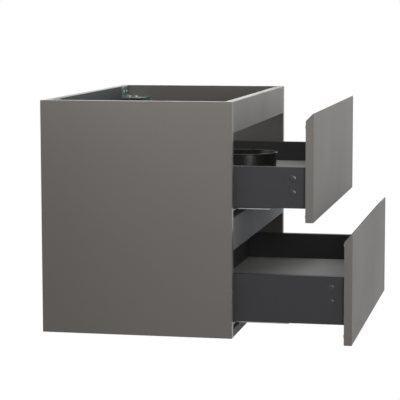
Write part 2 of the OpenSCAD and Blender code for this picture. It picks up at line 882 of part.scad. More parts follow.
// Locking clips under the front corners: a ribbed housing, a stop arm and a release lever
module drawer_clips(z, back_y) {
    x0 = runner_x + ball_x + groove_out + clip_play;
    color(black_plastic)
        for (s = [left, right])
            place_runner(s, z) translate([0, back_y + clip_gap, 0]) {
                difference() {
                    translate([x0, 0, clip_foot]) cube([clip_w, clip_l, bottom_under - clip_foot]);
                    for (i = [0 : clip_ribs - 1])
                        translate([x0 + clip_wall, 2 * clip_wall + i * clip_pocket_pitch,
                                   clip_foot - past])
                            cube([clip_w - 2 * clip_wall, clip_pocket_l,
                                  bottom_under - clip_foot - clip_wall]);
                }
                translate([x0 + clip_lap - arm_l, 0, arm_foot])
                    cube([arm_l, arm_t, bottom_under - arm_foot]);
                translate([x0 + clip_w / 2, 0, lever_z])
                    rod_y(clip_l - lever_root, clip_l + lever_out, lever_r);
                translate([x0 + plate_inset, plate_y, clip_foot - plate_t])
                    cube([clip_w - 2 * plate_inset, clip_l - 2 * plate_inset, plate_t + eps]);
            }
}

// Thin pads on the back of a front, where it meets the side panels
module drawer_bumpers(z, h, back_y) {
    color(pad_grey)
        for (s = [left, right], dz = [pad_inset, h - grip_drop - pad_inset])
            at_side(s) translate([-board_t / 2, back_y, max(z, 0) + dz])
                rotate([-90, 0, 0])
                    cylinder(h = pad_h, r1 = pad_r, r2 = pad_r - pad_taper, $fn = round_fn);
}

// ---- nodes ----

module side_panel_left() { side_panel(left); }
module side_panel_right() { side_panel(right); }
module hanger_bracket_left() { hanger_bracket(left); }
module hanger_bracket_right() { hanger_bracket(right); }
module hanger_hook_left() { hanger_hook(left); }
module hanger_hook_right() { hanger_hook(right); }
module wall_plate_left() { wall_plate(left); }
module wall_plate_right() { wall_plate(right); }

module upper_cabinet_rail(s) { cabinet_rail(s, upper_side_z); }
module lower_cabinet_rail(s) { cabinet_rail(s, lower_side_z); }
module upper_middle_rail(s) { middle_rail(s, upper_side_z, upper_open / 2); }
module lower_middle_rail(s) { middle_rail(s, lower_side_z, lower_open / 2); }
module upper_drawer_rail(s) { drawer_rail(s, upper_side_z, upper_back_y); }
module lower_drawer_rail(s) { drawer_rail(s, lower_side_z, lower_back_y); }
module upper_outer_cage(s) { ball_cage(s, upper_side_z, upper_open / 4, false); }
module upper_inner_cage(s) { ball_cage(s, upper_side_z, upper_open * 3 / 4, true); }
module lower_outer_cage(s) { ball_cage(s, lower_side_z, lower_open / 4, false); }
module lower_inner_cage(s) { ball_cage(s, lower_side_z, lower_open * 3 / 4, true); }

module upper_front() {
    drawer_front(upper_front_z, upper_front_h, upper_side_z, upper_side_h, upper_back_y);
}
module upper_side(s) { drawer_side(s, upper_side_z, upper_side_h, upper_back_y); }
module upper_back(x0, x1) { drawer_back(x0, x1, upper_side_z, upper_side_h, upper_back_y); }
module upper_bottom() { drawer_bottom(upper_side_z, upper_side_h, upper_back_y, true); }
module upper_siphon_liner() { siphon_liner(upper_side_z, upper_side_h, upper_back_y); }
module upper_cam_housings() { cam_housings(upper_side_z, upper_side_h, upper_back_y); }
module upper_cam_caps() { cam_caps(upper_side_z, upper_side_h, upper_back_y); }
module upper_cam_bolts() { cam_bolts(upper_side_z, upper_side_h, upper_back_y); }
module upper_dowels() { drawer_dowels(upper_side_z, upper_side_h, upper_back_y); }
module upper_clips() { drawer_clips(upper_side_z, upper_back_y); }
module upper_bumpers() { drawer_bumpers(upper_front_z, upper_front_h, upper_back_y); }

module lower_front() {
    drawer_front(lower_front_z, lower_front_h, lower_side_z, lower_side_h, lower_back_y);
}
module lower_side(s) { drawer_side(s, lower_side_z, lower_side_h, lower_back_y); }
module lower_back() {
    drawer_back(-box_in_w / 2, box_in_w / 2, lower_side_z, lower_side_h, lower_back_y);
}
module lower_bottom() { drawer_bottom(lower_side_z, lower_side_h, lower_back_y, false); }
module lower_cam_housings() { cam_housings(lower_side_z, lower_side_h, lower_back_y); }
module lower_cam_caps() { cam_caps(lower_side_z, lower_side_h, lower_back_y); }
module lower_cam_bolts() { cam_bolts(lower_side_z, lower_side_h, lower_back_y); }
module lower_dowels() { drawer_dowels(lower_side_z, lower_side_h, lower_back_y); }
module lower_clips() { drawer_clips(lower_side_z, lower_back_y); }
module lower_bumpers() { drawer_bumpers(lower_front_z, lower_front_h, lower_back_y); }

side_panel_left();
side_panel_right();
bottom_panel();
top_front_rail();
mid_front_rail();
rear_top_rail();
rear_bottom_rail();
carcass_dowels();
carcass_screws();
hanger_bracket_left();
hanger_bracket_right();
hanger_hook_left();
hanger_hook_right();
hanger_adjusters();
wall_plate_left();
wall_plate_right();
upper_cabinet_rail(left);  // upper_cabinet_rail_left
upper_cabinet_rail(right);  // upper_cabinet_rail_right
lower_cabinet_rail(left);  // lower_cabinet_rail_left
lower_cabinet_rail(right);  // lower_cabinet_rail_right
upper_front();
upper_side(left);  // upper_side_left
upper_side(right);  // upper_side_right
upper_back(-box_in_w / 2, -siphon_w / 2);  // upper_back_left
upper_back(siphon_w / 2, box_in_w / 2);  // upper_back_right
upper_bottom();
upper_siphon_liner();  // siphon_liner
upper_cam_housings();
upper_cam_caps();
upper_cam_bolts();
upper_dowels();
upper_drawer_rail(left);  // upper_drawer_rail_left
upper_drawer_rail(right);  // upper_drawer_rail_right
upper_clips();
upper_bumpers();
lower_front();
lower_side(left);  // lower_side_left
lower_side(right);  // lower_side_right
lower_back();
lower_bottom();
lower_cam_housings();
lower_cam_caps();
lower_cam_bolts();
lower_dowels();
lower_drawer_rail(left);  // lower_drawer_rail_left
lower_drawer_rail(right);  // lower_drawer_rail_right
lower_clips();
lower_bumpers();
upper_middle_rail(left);  // upper_middle_rail_left
upper_middle_rail(right);  // upper_middle_rail_right
lower_middle_rail(left);  // lower_middle_rail_left
lower_middle_rail(right);  // lower_middle_rail_right
upper_outer_cage(left);  // upper_outer_cage_left
upper_outer_cage(right);  // upper_outer_cage_right
upper_inner_cage(left);  // upper_inner_cage_left
upper_inner_cage(right);  // upper_inner_cage_right
lower_outer_cage(left);  // lower_outer_cage_left
lower_outer_cage(right);  // lower_outer_cage_right
lower_inner_cage(left);  // lower_inner_cage_left
lower_inner_cage(right);  // lower_inner_cage_right
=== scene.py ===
import math

import bmesh
import bpy
from mathutils import Matrix, Vector


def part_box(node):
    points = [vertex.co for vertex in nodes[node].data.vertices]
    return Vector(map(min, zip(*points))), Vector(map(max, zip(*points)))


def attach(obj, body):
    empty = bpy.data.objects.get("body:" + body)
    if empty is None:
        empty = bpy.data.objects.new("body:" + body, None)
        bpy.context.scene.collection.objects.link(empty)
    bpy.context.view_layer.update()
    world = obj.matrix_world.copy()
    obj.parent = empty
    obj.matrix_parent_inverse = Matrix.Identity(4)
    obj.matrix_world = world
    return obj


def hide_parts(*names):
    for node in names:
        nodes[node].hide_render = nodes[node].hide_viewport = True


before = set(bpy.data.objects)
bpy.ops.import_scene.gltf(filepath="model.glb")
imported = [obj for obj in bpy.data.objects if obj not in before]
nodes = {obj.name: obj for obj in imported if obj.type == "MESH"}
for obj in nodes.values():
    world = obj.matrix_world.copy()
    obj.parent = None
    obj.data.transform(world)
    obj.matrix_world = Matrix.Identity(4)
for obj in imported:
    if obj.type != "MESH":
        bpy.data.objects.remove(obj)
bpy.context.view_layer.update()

# ---- Carcass boards ----
# Seven 18 mm boards of chipboard faced with matt grey melamine. Every long edge wears a 1 mm
# edge band, whose glue joint shows as a hairline. The slots for the wall hooks are milled
# through the faced board, so the raw chipboard shows in them.

millimetre = 0.001
# nearly all values of a noise lie in its span, and most of them in its core
noise_span = (0.3, 0.7)
noise_core = (0.35, 0.65)


def grey(level, warmth=0.0):
    """Linear colour of a grey whose screen value is level, a little redder if it is warm."""
    def linear(value):
        share = value / 255
        return share / 12.92 if share <= 0.04045 else ((share + 0.055) / 1.055) ** 2.4
    return (linear(level + warmth), linear(level), linear(level - warmth), 1.0)


def shaded(colour, factor):
    """The colour with its light multiplied by factor."""
    return tuple(channel * factor for channel in colour[:3]) + (1.0,)


def add(tree, kind, settings=None, **inputs):
    """Adds a shader node. Inputs are numbers, colours or other nodes' sockets."""
    made = tree.nodes.new("ShaderNode" + kind)
    for name, value in (settings or {}).items():
        setattr(made, name, value)
    for name, value in inputs.items():
        key = int(name[1:]) if name[0] == "_" else name.replace("_", " ")
        if isinstance(value, bpy.types.NodeSocket):
            tree.links.new(value, made.inputs[key])
        else:
            made.inputs[key].default_value = value
    return made


def new_finish(name, **sockets):
    """A material with one Principled shader, and the point on the piece as its coordinate."""
    finish = bpy.data.materials.new(name)
    finish.use_nodes = True
    tree = finish.node_tree
    skin = tree.nodes["Principled BSDF"]
    for socket, value in sockets.items():
        skin.inputs[socket.replace("_", " ")].default_value = value
    place = add(tree, "TexCoord").outputs["Object"]
    return finish, tree, skin, place


def calc(tree, operation, *values):
    """The socket with the result of a sum on numbers and sockets."""
    inputs = {"_%d" % i: value for i, value in enumerate(values)}
    return add(tree, "Math", {"operation": operation}, **inputs).outputs[0]


def grains(tree, place, size, detail=2.0, stretch=(1, 1, 1)):
    """Noise whose patches are about size metres across, stretched along the axes."""
    spread = add(tree, "Mapping", None, Vector=place, Scale=stretch).outputs[0]
    noise = add(tree, "TexNoise", None, Vector=spread, Scale=1 / size, Detail=detail)
    return noise.outputs["Fac"]


def spread_over(tree, value, low, high, new_low, new_high):
    """Takes the range from low to high over to the range from new_low to new_high."""
    made = add(tree, "MapRange", None, Value=value, From_Min=low, From_Max=high,
               To_Min=new_low, To_Max=new_high)
    return made.outputs[0]


def blend(tree, share, first, second):
    """The first colour where share is 0 and the second where it is 1."""
    made = add(tree, "Mix", {"data_type": "RGBA"}, _0=share, _6=first, _7=second)
    return made.outputs[2]


def emboss(tree, skin, height, strength, depth):
    """Raises the surface by up to depth metres, over what is embossed on it already."""
    bump = add(tree, "Bump", None, Strength=strength, Distance=depth, Height=height)
    normal = skin.inputs["Normal"]
    if normal.is_linked:
        tree.links.new(normal.links[0].from_socket, bump.inputs["Normal"])
    tree.links.new(bump.outputs[0], normal)


def band_joint(tree, place, box, across):
    """1 on the hairline between the face and the edge band, and the distance from the edge."""
    band = 1.0 * millimetre
    hairline = 0.12 * millimetre
    axes = add(tree, "SeparateXYZ", None, Vector=place).outputs
    nearest = None
    for axis in across:
        index = "xyz".index(axis)
        for corner in box:
            gap = calc(tree, "ABSOLUTE", calc(tree, "SUBTRACT", axes[index], corner[index]))
            nearest = gap if nearest is None else calc(tree, "MINIMUM", nearest, gap)
    off_joint = calc(tree, "ABSOLUTE", calc(tree, "SUBTRACT", nearest, band))
    return spread_over(tree, off_joint, 0, hairline, 1, 0), nearest


def melamine(name, box, across, colour, roughness=0.58, shine=0.12, edge_polish=0.32):
    """Matt melamine face with a pearl emboss, faint clouding and a smoother edge band."""
    pearl_dark, pearl_light = 0.97, 1.03
    cloud_tone, cloud_cover, cloud_gloss = 0.95, 0.35, 0.03
    joint_tone, joint_cover = 0.35, 0.55
    polish_full, polish_none = 0.2 * millimetre, 0.9 * millimetre

    finish, tree, skin, place = new_finish(name, Roughness=roughness, Specular_IOR_Level=shine)
    cloud = grains(tree, place, 160 * millimetre)
    pearl = grains(tree, place, 0.6 * millimetre, detail=3.0)
    face = blend(tree, spread_over(tree, pearl, *noise_span, 0, 1),
                 shaded(colour, pearl_dark), shaded(colour, pearl_light))
    face = blend(tree, spread_over(tree, cloud, *noise_core, 0, cloud_cover), face,
                 shaded(colour, cloud_tone))
    joint, from_edge = band_joint(tree, place, box, across)
    face = blend(tree, calc(tree, "MULTIPLY", joint, joint_cover), face,
                 shaded(colour, joint_tone))
    tree.links.new(face, skin.inputs["Base Color"])

    gloss = spread_over(tree, cloud, *noise_span, roughness - cloud_gloss,
                        roughness + cloud_gloss)
    smoother = spread_over(tree, from_edge, polish_full, polish_none, edge_polish, 0.0)
    tree.links.new(calc(tree, "SUBTRACT", gloss, smoother), skin.inputs["Roughness"])
    emboss(tree, skin, calc(tree, "SUBTRACT", pearl, joint), strength=0.35,
           depth=0.04 * millimetre)
    return finish, tree, skin, place


def bare_core(tree, skin, place, bare):
    """Shows the chips and the glue of the board's core where bare is 1."""
    chips_per_metre = 550.0
    dark_chip, light_chip = (0.33, 0.25, 0.16, 1), (0.58, 0.48, 0.35, 1)
    chips = add(tree, "TexVoronoi", None, Vector=place, Scale=chips_per_metre).outputs["Color"]
    tone = add(tree, "SeparateColor", None, Color=chips).outputs[0]
    core = blend(tree, tone, dark_chip, light_chip)
    face = skin.inputs["Base Color"].links[0].from_socket
    tree.links.new(blend(tree, bare, face, core), skin.inputs["Base Color"])


def dress(node, finish):
    """Gives a node of the CAD model its finish."""
    nodes[node].data.materials.clear()
    nodes[node].data.materials.append(finish)


# each board, and the axes across which its edge bands lie
carcass_boards = {
    "side_panel_left": "yz", "side_panel_right": "yz", "bottom_panel": "y",
    "top_front_rail": "z", "mid_front_rail": "z", "rear_top_rail": "z", "rear_bottom_rail": "z",
}
carcass_grey = grey(112, 3)
# boards whose grey is painted lighter or darker than the carcass grey, in place of light and
# shade: painted shade on the rear rails and on the bottom panel, whose edge lies in the shade
# and whose gloss is dulled as well, and painted light on the two front rails and the right side
# panel
painted_light_and_shade_greys = {
    "rear_top_rail": grey(67, -1), "rear_bottom_rail": grey(67, -1),
    "mid_front_rail": grey(119, -3), "top_front_rail": grey(118, 3),
    "side_panel_right": grey(116, 3), "bottom_panel": grey(98, 3),
}
board_gloss = {"bottom_panel": {"shine": 0.05, "edge_polish": 0.0}}
slot_low, slot_high = 0.4365, 0.5002
milled_below = 0.5
wall_plane = -0.3 * millimetre

for board, across in carcass_boards.items():
    finish, tree, skin, place = melamine(
        board + "_melamine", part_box(board), across, painted_light_and_shade_greys.get(board, carcass_grey),
        **board_gloss.get(board, {}))
    axes = add(tree, "SeparateXYZ", None, Vector=place).outputs
    if board == "rear_top_rail":
        # the milled faces stand across the board, between the slots' lowest and highest points
        facing = add(tree, "SeparateXYZ", None,
                     Vector=add(tree, "NewGeometry").outputs["True Normal"]).outputs[1]
        in_slot = calc(tree, "MULTIPLY", calc(tree, "GREATER_THAN", axes[2], slot_low),
                       calc(tree, "LESS_THAN", axes[2], slot_high))
        cut_face = calc(tree, "LESS_THAN", calc(tree, "ABSOLUTE", facing), milled_below)
        bare_core(tree, skin, place, calc(tree, "MULTIPLY", in_slot, cut_face))
    elif not board.endswith("rail"):
        # the edges that lie against the wall wear no band
        bare_core(tree, skin, place, calc(tree, "GREATER_THAN", axes[1], wall_plane))
    dress(board, finish)

# ---- Carcass dowels ----
# 8 mm beech dowels, turned and fluted, glued into blind holes where one board meets another.
# They are out of sight once the carcass is pressed together.


def drawn_out(along, share):
    """A noise's scale that draws its patches out along one axis."""
    return tuple(share if axis == along else 1.0 for axis in "xyz")


def beech(name, along):
    """Turned beech with its flecks, pressed with fine flutes that spread the glue."""
    dark_ring, light_ring = (0.60, 0.39, 0.21, 1), (0.70, 0.50, 0.29, 1)
    fleck_tone, fleck_range, fleck_cover = (0.42, 0.24, 0.12, 1), (0.55, 0.7), 0.6

    finish, tree, skin, place = new_finish(name, Roughness=0.62)
    with_grain = drawn_out(along, share=0.12)
    fleck = grains(tree, place, 1.1 * millimetre, detail=4.0, stretch=with_grain)
    ring = grains(tree, place, 6 * millimetre, detail=1.0, stretch=with_grain)
    wood = blend(tree, spread_over(tree, ring, *noise_core, 0, 1), dark_ring, light_ring)
    wood = blend(tree, spread_over(tree, fleck, *fleck_range, 0, fleck_cover), wood, fleck_tone)
    tree.links.new(wood, skin.inputs["Base Color"])
    emboss(tree, skin, fleck, strength=0.5, depth=0.1 * millimetre)
    return finish


dress("carcass_dowels", beech("carcass_dowel_beech", "x"))

# ---- Wall hangers ----
# Pressed and folded sheet steel: a bracket with a shelf in each rear corner, a hook under the
# shelf, and a plate on the wall whose upturned lip carries the hook. The zinc is passivated
# blue, so it shimmers from blue-green to straw.

sides = ("left", "right")


def zinc_plate(name, colour, tint, rolled="y", roughness=0.3):
    """Plated sheet: rolling lines along one axis, clouded passivation and a few rubbed spots."""
    rubbed_tone, rubbed_range, rubbed_cover = (0.72, 0.68, 0.55, 1), (0.55, 0.8), 0.35
    finer, coarser = 0.08, 0.1

    finish, tree, skin, place = new_finish(name, Metallic=1.0, Roughness=roughness)
    lines = grains(tree, place, 0.6 * millimetre, detail=3.0,
                   stretch=drawn_out(rolled, share=0.04))
    cloud = grains(tree, place, 12 * millimetre, detail=3.0)
    rubbed = grains(tree, place, 3 * millimetre)
    plate = blend(tree, spread_over(tree, cloud, *noise_core, 0, 1), colour, tint)
    plate = blend(tree, spread_over(tree, rubbed, *rubbed_range, 0, rubbed_cover), plate,
                  rubbed_tone)
    tree.links.new(plate, skin.inputs["Base Color"])
    gloss = spread_over(tree, lines, *noise_span, roughness - finer, roughness + coarser)
    tree.links.new(gloss, skin.inputs["Roughness"])
    emboss(tree, skin, lines, strength=0.3, depth=0.02 * millimetre)
    return finish


def ease_edges(piece, width, segments=2):
    """Rounds the sharp edges of a piece a little, so that they catch the light."""
    sharper_than = 40
    weld = piece.modifiers.new("join_faces", "WELD")
    weld.merge_threshold = 0.002 * millimetre
    bevel = piece.modifiers.new("eased_edges", "BEVEL")
    bevel.width = width
    bevel.segments = segments
    bevel.limit_method = "ANGLE"
    bevel.angle_limit = math.radians(sharper_than)
    bevel.use_clamp_overlap = True
    level = piece.modifiers.new("level_faces", "WEIGHTED_NORMAL")
    level.keep_sharp = True


passivated = zinc_plate("blue_passivated_zinc", (0.27, 0.33, 0.31, 1), (0.33, 0.39, 0.37, 1),
                        roughness=0.36)
sheet_edge = 0.25 * millimetre
for side in sides:
    for fitting in ("hanger_bracket_", "hanger_hook_", "wall_plate_"):
        dress(fitting + side, passivated)
        ease_edges(nodes[fitting + side], sheet_edge)

# ---- Screws of the carcass ----
# Steel screws with bright zinc plating: wood screws that hold the brackets and the runners, and
# two levelling screws in each hanger, which set the height of the vanity on its hooks. Their
# 6 mm shanks are threaded below the shelf, above and below the hook.

bright_zinc = zinc_plate("bright_zinc_screws", (0.44, 0.47, 0.46, 1), (0.37, 0.41, 0.42, 1),
                         rolled="z", roughness=0.34)
for screws in ("carcass_screws", "hanger_adjusters"):
    dress(screws, bright_zinc)


def cut_thread(mesh, centre, radius, low, high):
    """Rolled thread: a ridge with a triangular section that winds up a shank."""
    pitch, depth = 1.0 * millimetre, 0.25 * millimetre
    root, flank = radius - depth / 5, pitch * 0.4
    steps_per_turn, run_out = 24, 12
    steps = int((high - low) / pitch * steps_per_turn)
    rows = []
    for step in range(steps + 1):
        turn = 2 * math.pi * step / steps_per_turn
        height = low + (high - low) * step / steps
        crest = radius + depth * min(1.0, step / run_out, (steps - step) / run_out)
        section = ((root, -flank), (crest, 0.0), (root, flank))
        rows.append([mesh.verts.new((centre[0] + reach * math.cos(turn),
                                     centre[1] + reach * math.sin(turn), height + rise))
                     for reach, rise in section])
    for below, above in zip(rows, rows[1:]):
        for i, j in ((0, 1), (1, 2), (2, 0)):
            mesh.faces.new((below[i], below[j], above[j], above[i]))
    mesh.faces.new(rows[0][::-1])
    mesh.faces.new(rows[-1])


def new_piece(name, mesh, finish, body):
    """Makes an object of a mesh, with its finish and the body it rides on."""
    data = bpy.data.meshes.new(name)
    bmesh.ops.recalc_face_normals(mesh, faces=mesh.faces)
    mesh.to_mesh(data)
    mesh.free()
    piece = bpy.data.objects.new(name, data)
    bpy.context.scene.collection.objects.link(piece)
    data.materials.append(finish)
    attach(piece, body)
    return piece


# sizes across the vanity are measured from the inner face of a side panel
panel_face = 0.357
shank_x, shank_rows = panel_face - 0.036, (-0.034, -0.052)
shank_radius = 3.0 * millimetre
shank_foot, shelf_face = 0.4851, 0.4989
hook_low, hook_high = 0.4910, 0.4935
unthreaded = 0.5 * millimetre
threads = bmesh.new()
for x in (-shank_x, shank_x):
    for y in shank_rows:
        for low, high in ((shank_foot, hook_low), (hook_high, shelf_face)):
            cut_thread(threads, (x, y), shank_radius, low + unthreaded, high - unthreaded)
new_piece("hanger_adjuster_threads", threads, bright_zinc, "cabinet")

# ---- Drawer runners ----
# Cold-rolled steel sheet with bright zinc plating: a cabinet rail screwed to the side panel,
# a closed middle rail, and a drawer rail under the drawer, which hooks into the drawer's back.

drawers = ("upper", "lower")
runner_zinc = zinc_plate("runner_zinc", (0.36, 0.39, 0.385, 1), (0.30, 0.33, 0.33, 1))
for drawer in drawers:
    for side in sides:
        for rail in ("cabinet", "middle", "drawer"):
            dress("%s_%s_rail_%s" % (drawer, rail, side), runner_zinc)

# ---- Ball cages ----
# Two stamped steel cages in each runner, oiled, which keep the hardened and polished balls
# apart: one between the cabinet rail and the middle rail, one between that and the drawer rail.


def cage_and_balls(name, middle):
    """Stamped strip, and polished balls where the surface stands off the strip's plane."""
    row_off_middle, strip_half = 8 * millimetre, 0.45 * millimetre
    strip_light, strip_dark = (0.52, 0.53, 0.55, 1), (0.42, 0.43, 0.45, 1)
    ball_steel = (0.72, 0.72, 0.73, 1)
    strip_roughness, ball_roughness = 0.38, 0.08
    oil_range = (0.4, 0.6)

    finish, tree, skin, place = new_finish(name, Metallic=1.0)
    across = add(tree, "SeparateXYZ", None, Vector=place).outputs[0]
    from_middle = calc(tree, "ABSOLUTE", calc(tree, "SUBTRACT", calc(tree, "ABSOLUTE", across),
                                              middle))
    off_strip = calc(tree, "ABSOLUTE", calc(tree, "SUBTRACT", from_middle, row_off_middle))
    ball = calc(tree, "MULTIPLY", calc(tree, "GREATER_THAN", off_strip, strip_half),
                calc(tree, "GREATER_THAN", from_middle, row_off_middle / 2))
    oil = grains(tree, place, 4 * millimetre)
    strip = blend(tree, spread_over(tree, oil, *oil_range, 0, 1), strip_light, strip_dark)
    tree.links.new(blend(tree, ball, strip, ball_steel), skin.inputs["Base Color"])
    gloss = spread_over(tree, ball, 0, 1, strip_roughness, ball_roughness)
    tree.links.new(gloss, skin.inputs["Roughness"])
    return finish


runner_middle = panel_face - 0.034
cage_steel = cage_and_balls("cage_steel", runner_middle)
for drawer in drawers:
    for side in sides:
        for cage in ("outer", "inner"):
            dress("%s_%s_cage_%s" % (drawer, cage, side), cage_steel)

# ---- Drawer fronts ----
# 18 mm fibreboard sprayed with matt grey lacquer on all sides, with a 45 degree bevel along
# the top as finger grip. The spray leaves a faint orange peel and no joint at the edges.


def lacquer(name, colour):
    """Sprayed lacquer with orange peel, fine grit in its colour and faint clouds."""
    grit_dark, grit_light = 0.98, 1.02
    cloud_tone, cloud_cover = 0.96, 0.4
    smooth, rough = 0.55, 0.61

    finish, tree, skin, place = new_finish(name, Roughness=0.58, Specular_IOR_Level=0.1)
    peel = grains(tree, place, 1.6 * millimetre)
    cloud = grains(tree, place, 200 * millimetre)
    grit = grains(tree, place, 0.3 * millimetre)
    coat = blend(tree, spread_over(tree, grit, *noise_span, 0, 1),
                 shaded(colour, grit_dark), shaded(colour, grit_light))
    coat = blend(tree, spread_over(tree, cloud, *noise_core, 0, cloud_cover), coat,
                 shaded(colour, cloud_tone))
    tree.links.new(coat, skin.inputs["Base Color"])
    gloss = spread_over(tree, cloud, *noise_span, smooth, rough)
    tree.links.new(gloss, skin.inputs["Roughness"])
    emboss(tree, skin, peel, strength=0.25, depth=0.03 * millimetre)
    return finish


front_lacquer = lacquer("front_lacquer", carcass_grey)
front_edge = 0.5 * millimetre
for drawer in drawers:
    dress(drawer + "_front", front_lacquer)
    ease_edges(nodes[drawer + "_front"], front_edge)

# ---- Drawer boxes ----
# 16 mm chipboard faced with anthracite melamine in a fine linen emboss. The sides and backs
# are dowelled with beech to a bottom that is faced with grey melamine.


def linen_board(name, box, across, colour):
    """Melamine with a linen emboss: the product of two slightly uneven sets of ribs."""
    ribs_per_metre, unevenness = 520.0, 1.5
    finish, tree, skin, place = melamine(name, box, across, colour, roughness=0.45,
                                         edge_polish=0.08)
    warp, weft = (add(tree, "TexWave", {"bands_direction": direction}, Vector=place,
                      Scale=ribs_per_metre, Distortion=unevenness, Detail=1.0).outputs["Fac"]
                  for direction in "YZ")
    emboss(tree, skin, calc(tree, "MULTIPLY", warp, weft), strength=0.4,
           depth=0.05 * millimetre)
    return finish


anthracite = (0.0465, 0.0465, 0.0500, 1.0)
box_boards = {
    "upper_side_left": "yz", "upper_side_right": "yz", "lower_side_left": "yz",
    "lower_side_right": "yz", "upper_back_left": "z", "upper_back_right": "z",
    "lower_back": "z",
}
for board, across in box_boards.items():
    dress(board, linen_board(board + "_melamine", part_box(board), across, anthracite))

bottom_grey = grey(167, 1)
for drawer in drawers:
    board = drawer + "_bottom"
    dress(board, melamine(board + "_melamine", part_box(board), "y", bottom_grey)[0])
    dress(drawer + "_dowels", beech(drawer + "_dowel_beech", "x"))

# ---- Cam fittings ----
# Two at the front end of each drawer side: a die-cast zinc housing, turned tight on a steel
# bolt in the front, draws the side to it. A domed plastic cap is pushed in over the hole.


def moulded(name, colour, roughness, grain_size, depth):
    """Injection-moulded plastic with the fine erosion grain of its tool."""
    flow_dark, flow_light = 0.93, 1.07
    grain_gloss = 0.05

    finish, tree, skin, place = new_finish(name, Roughness=roughness, Specular_IOR_Level=0.5)
    erosion = grains(tree, place, grain_size, detail=3.0)
    flow = grains(tree, place, 20 * millimetre)
    tone = blend(tree, spread_over(tree, flow, *noise_span, 0, 1),
                 shaded(colour, flow_dark), shaded(colour, flow_light))
    tree.links.new(tone, skin.inputs["Base Color"])
    gloss = spread_over(tree, erosion, *noise_span, roughness - grain_gloss,
                        roughness + grain_gloss)
    tree.links.new(gloss, skin.inputs["Roughness"])
    emboss(tree, skin, erosion, strength=0.3, depth=depth)
    return finish


def ring_of(mesh, centre, reach, segments, out, outward=None):
    """A ring of points round the x axis, or round the z axis where outward is None."""
    ring = []
    for i in range(segments):
        angle = 2 * math.pi * i / segments
        first, second = reach * math.cos(angle), reach * math.sin(angle)
        if outward is None:
            point = (centre[0] + first, centre[1] + second, centre[2] + out)
        else:
            point = (centre[0] + outward * out, centre[1] + first, centre[2] + second)
        ring.append(mesh.verts.new(point))
    return ring


cap_plastic = moulded("cap_plastic", grey(23, -1), roughness=0.26,
                      grain_size=0.4 * millimetre, depth=0.02 * millimetre)
cast_zinc = zinc_plate("die_cast_zinc", (0.50, 0.51, 0.52, 1), (0.42, 0.43, 0.45, 1),
                       rolled="x", roughness=0.42)
for drawer in drawers:
    dress(drawer + "_cam_housings", cast_zinc)
    dress(drawer + "_cam_bolts", bright_zinc)

cap_radius, cap_rise, cap_lip = 8.2 * millimetre, 1.3 * millimetre, 0.1 * millimetre
plug_radius, plug_depth = 7.2 * millimetre, 1.4 * millimetre
plug_chamfer = 0.2 * millimetre


def cover_cap(mesh, centre, outward):
    """A low dome over the rim of the hole, and the plug behind it. Centre is on the board."""
    around, steps, roundness = 48, 12, 2.2
    profile = [(plug_radius - plug_chamfer, -plug_depth),
               (plug_radius, plug_chamfer - plug_depth),
               (plug_radius, 0.0), (cap_radius, 0.0), (cap_radius, cap_lip)]
    edge = len(profile) - 1
    for step in range(1, steps):
        share = 1 - step / steps
        rise = (cap_rise - cap_lip) * (1 - share ** roundness)
        profile.append((cap_radius * share, cap_lip + rise))
    rings = [ring_of(mesh, centre, reach, around, out, outward) for reach, out in profile]
    crown = mesh.verts.new((centre[0] + outward * cap_rise, centre[1], centre[2]))
    mesh.faces.new(rings[0])
    for i in range(around):
        j = (i + 1) % around
        for number, (ring, after) in enumerate(zip(rings, rings[1:])):
            mesh.faces.new((ring[i], ring[j], after[j], after[i])).smooth = number >= edge
        mesh.faces.new((rings[-1][i], rings[-1][j], crown)).smooth = True


for drawer in drawers:
    caps_low, caps_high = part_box(drawer + "_cam_caps")
    caps_y = (caps_low[1] + caps_high[1]) / 2
    board_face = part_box(drawer + "_side_right")[1][0]
    caps = bmesh.new()
    for outward in (-1, 1):
        for z in (caps_low[2] + cap_radius, caps_high[2] - cap_radius):
            cover_cap(caps, (outward * board_face, caps_y, z), outward)
    covers = new_piece(drawer + "_cover_caps", caps, cap_plastic, drawer + "_drawer")
    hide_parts(drawer + "_cam_caps")

# ---- Locking clips ----
# A black moulded clip under each front corner of a drawer snaps the drawer onto its runner.
# Two steel screws with pan heads and a cross recess hold it to the drawer's bottom.

clip_plastic = moulded("clip_plastic", (0.012, 0.012, 0.013, 1), roughness=0.45,
                       grain_size=0.5 * millimetre, depth=0.05 * millimetre)
clip_edge = 0.3 * millimetre
for drawer in drawers:
    dress(drawer + "_clips", clip_plastic)
    ease_edges(nodes[drawer + "_clips"], clip_edge)


def screw_head(mesh, centre, radius, height):
    """Pan head seen from below, with a cross recess: centre is the middle of its seat."""
    segments = 24
    # reach as a share of the radius, and drop as a share of the height
    profile = ((1.0, 0.0), (1.0, 0.45), (0.9, 0.8), (0.66, 1.0))
    rings = [ring_of(mesh, centre, radius * reach, segments, -height * drop)
             for reach, drop in profile]
    for upper, lower in zip(rings, rings[1:]):
        for i in range(segments):
            j = (i + 1) % segments
            mesh.faces.new((upper[i], upper[j], lower[j], lower[i]))
    mesh.faces.new(rings[0])

    # the recess is a cross with four arms, turned a quarter from one to the next
    long_arm, half_arm = radius * 0.46, radius * 0.12
    mouth_drop, floor_drop = 1.0, 0.35
    corners = [(long_arm, half_arm), (half_arm, half_arm), (half_arm, long_arm)]
    for quarter in range(3):
        corners += [(-y, x) for x, y in corners[-3:]]
    mouth, recess_floor = (
        [mesh.verts.new((centre[0] + x, centre[1] + y, centre[2] - height * drop))
         for x, y in corners] for drop in (mouth_drop, floor_drop))
    for i in range(len(corners)):
        j = (i + 1) % len(corners)
        mesh.faces.new((mouth[i], mouth[j], recess_floor[j], recess_floor[i]))
    mesh.faces.new(recess_floor)
    rim = [mesh.edges.get((ring[i], ring[(i + 1) % len(ring)]))
           for ring in (rings[-1], mouth) for i in range(len(ring))]
    bmesh.ops.triangle_fill(mesh, use_beauty=True, edges=rim)


